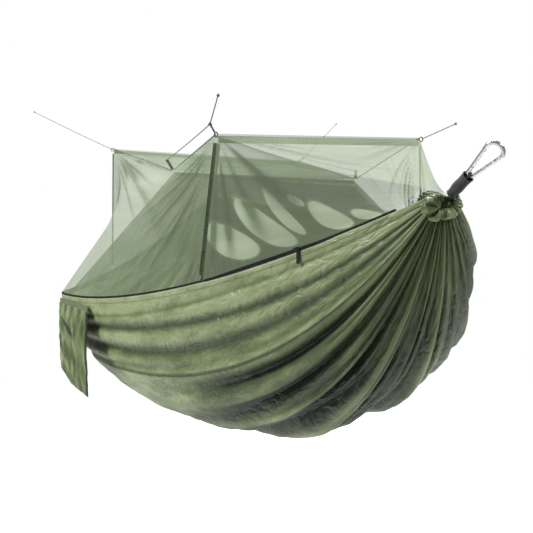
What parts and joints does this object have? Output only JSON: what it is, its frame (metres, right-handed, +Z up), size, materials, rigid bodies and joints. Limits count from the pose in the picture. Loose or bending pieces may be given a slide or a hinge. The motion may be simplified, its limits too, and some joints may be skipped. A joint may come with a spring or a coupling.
{
  "type": "camping hammock",
  "caption": "Gathered-end cloth hammock with a zipped insect net on guyed hoops, rope loops with carabiners and a sewn-on stuff sack.",
  "frame": {"origin": "inside of the near carabiner bow, where the tree strap pulls", "axes": "X along the hammock, +X from the far end towards the near end; Y across, the zipped side is -Y; +Z up"},
  "size_m": [2.4952, 1.1744, 0.9104],
  "materials": {
    "green_nylon": "satin parachute nylon",
    "insect_net": "fine knitted mesh, see-through",
    "zip_metal": "black lacquer",
    "zip_teeth": "nylon coil",
    "zip_tape": "woven",
    "carabiner_steel": "polished",
    "black_rope": "braided",
    "black_sleeve": "tubular webbing",
    "guy_cord": "thin braided cord",
    "green_webbing": "woven tape"
  },
  "bodies": {
    "hammock": {"branch_cord_e": "guy_cord", "branch_cord_f": "guy_cord", "corner_loops": "green_webbing", "corner_strap_b": "guy_cord", "corner_strap_d": "guy_cord", "far_end_zip_tape": "zip_tape", "far_end_zip_teeth": "zip_teeth", "far_gather": "green_nylon", "far_hoop_legs": "green_webbing", "far_ridge_tape": "green_webbing", "far_rim_binding": "green_webbing", "far_roof_binding": "green_webbing", "far_side_panel": "green_nylon", "guy_cord_a": "guy_cord", "guy_cord_b": "guy_cord", "guy_cord_c": "guy_cord", "guy_cord_d": "guy_cord", "guy_end_knot_a": "guy_cord", "guy_end_knot_b": "guy_cord", "guy_end_knot_c": "guy_cord", "guy_end_knot_d": "guy_cord", "guy_knot_b": "guy_cord", "guy_knot_d": "guy_cord", "main_panel": "green_nylon", "middle_hoop_tape": "green_webbing", "middle_tie_e": "green_webbing", "middle_tie_f": "green_webbing", "near_end_zip_tape": "zip_tape", "near_end_zip_teeth": "zip_teeth", "near_gather": "green_nylon", "near_hoop_legs": "green_webbing", "near_ridge_tape": "green_webbing", "near_roof_binding": "green_webbing", "near_side_panel": "green_nylon", "net_far_end": "insect_net", "net_far_wall": "insect_net", "net_middle_fall": "insect_net", "net_near_end": "insect_net", "net_roof": "insect_net", "net_valance": "insect_net", "sack_seam_tape": "green_nylon", "zip_lower_tape": "zip_tape", "zip_lower_teeth": "zip_teeth"},
    "net_door": {"door_zip_tape": "zip_tape", "door_zip_teeth": "zip_teeth", "net_door": "insect_net"},
    "far_suspension": {"far_carabiner_body": "carabiner_steel", "far_carabiner_pin": "carabiner_steel", "far_rope_loop": "black_rope", "far_sleeve": "black_sleeve"},
    "far_gate": {"far_carabiner_gate": "carabiner_steel"},
    "near_suspension": {"near_carabiner_body": "carabiner_steel", "near_carabiner_pin": "carabiner_steel", "near_rope_loop": "black_rope", "near_sleeve": "black_sleeve"},
    "near_gate": {"near_carabiner_gate": "carabiner_steel"},
    "stuff_sack": {"stuff_sack": "green_nylon"},
    "zip_puller": {"zip_puller": "zip_metal"},
    "zip_slider": {"zip_slider": "zip_metal"}
  },
  "joints": [
    {"name": "near_suspension_swing", "type": "hinge", "parent": "hammock", "child": "near_suspension", "pos_m": [-0.0877, -0.0281, -0.0674], "axis": [0, 1, 0], "range_deg": [-30, 40]},
    {"name": "far_suspension_swing", "type": "hinge", "parent": "hammock", "child": "far_suspension", "pos_m": [-2.3957, -0.0281, -0.0674], "axis": [0, -1, 0], "range_deg": [-30, 40]},
    {"name": "near_gate_swing", "type": "hinge", "parent": "near_suspension", "child": "near_gate", "pos_m": [-0.04222, -0.01632, -0.02608], "axis": [-0.5554, 0.6865, 0.4694], "range_deg": [0, 20], "stiffness_Nm_per_rad": 0.15, "springref_deg": -17.19},
    {"name": "far_gate_swing", "type": "hinge", "parent": "far_suspension", "child": "far_gate", "pos_m": [-2.44118, -0.01632, -0.02608], "axis": [-0.5554, -0.6865, -0.4694], "range_deg": [0, 20], "stiffness_Nm_per_rad": 0.15, "springref_deg": -17.19},
    {"name": "zip_slider_travel", "type": "slide", "parent": "hammock", "child": "zip_slider", "axis": [-0.8394, -0.4654, -0.2809], "range_m": [0, 0.2]},
    {"name": "zip_puller_swing", "type": "hinge", "parent": "zip_slider", "child": "zip_puller", "pos_m": [-0.33447, -0.19038, -0.1583], "axis": [-0.8394, -0.4654, -0.2809], "range_deg": [0, 75]},
    {"name": "net_door_swing", "type": "hinge", "parent": "hammock", "child": "net_door", "pos_m": [-1.725, -0.48467, -0.02447], "axis": [-0.9847, -0.1731, 0.0183], "range_deg": [0, 75]},
    {"name": "stuff_sack_swing", "type": "hinge", "parent": "hammock", "child": "stuff_sack", "pos_m": [-1.23865, -0.64549, -0.3654], "axis": [-0.9242, -0.3818, 0], "range_deg": [0, 70]}
  ]
}
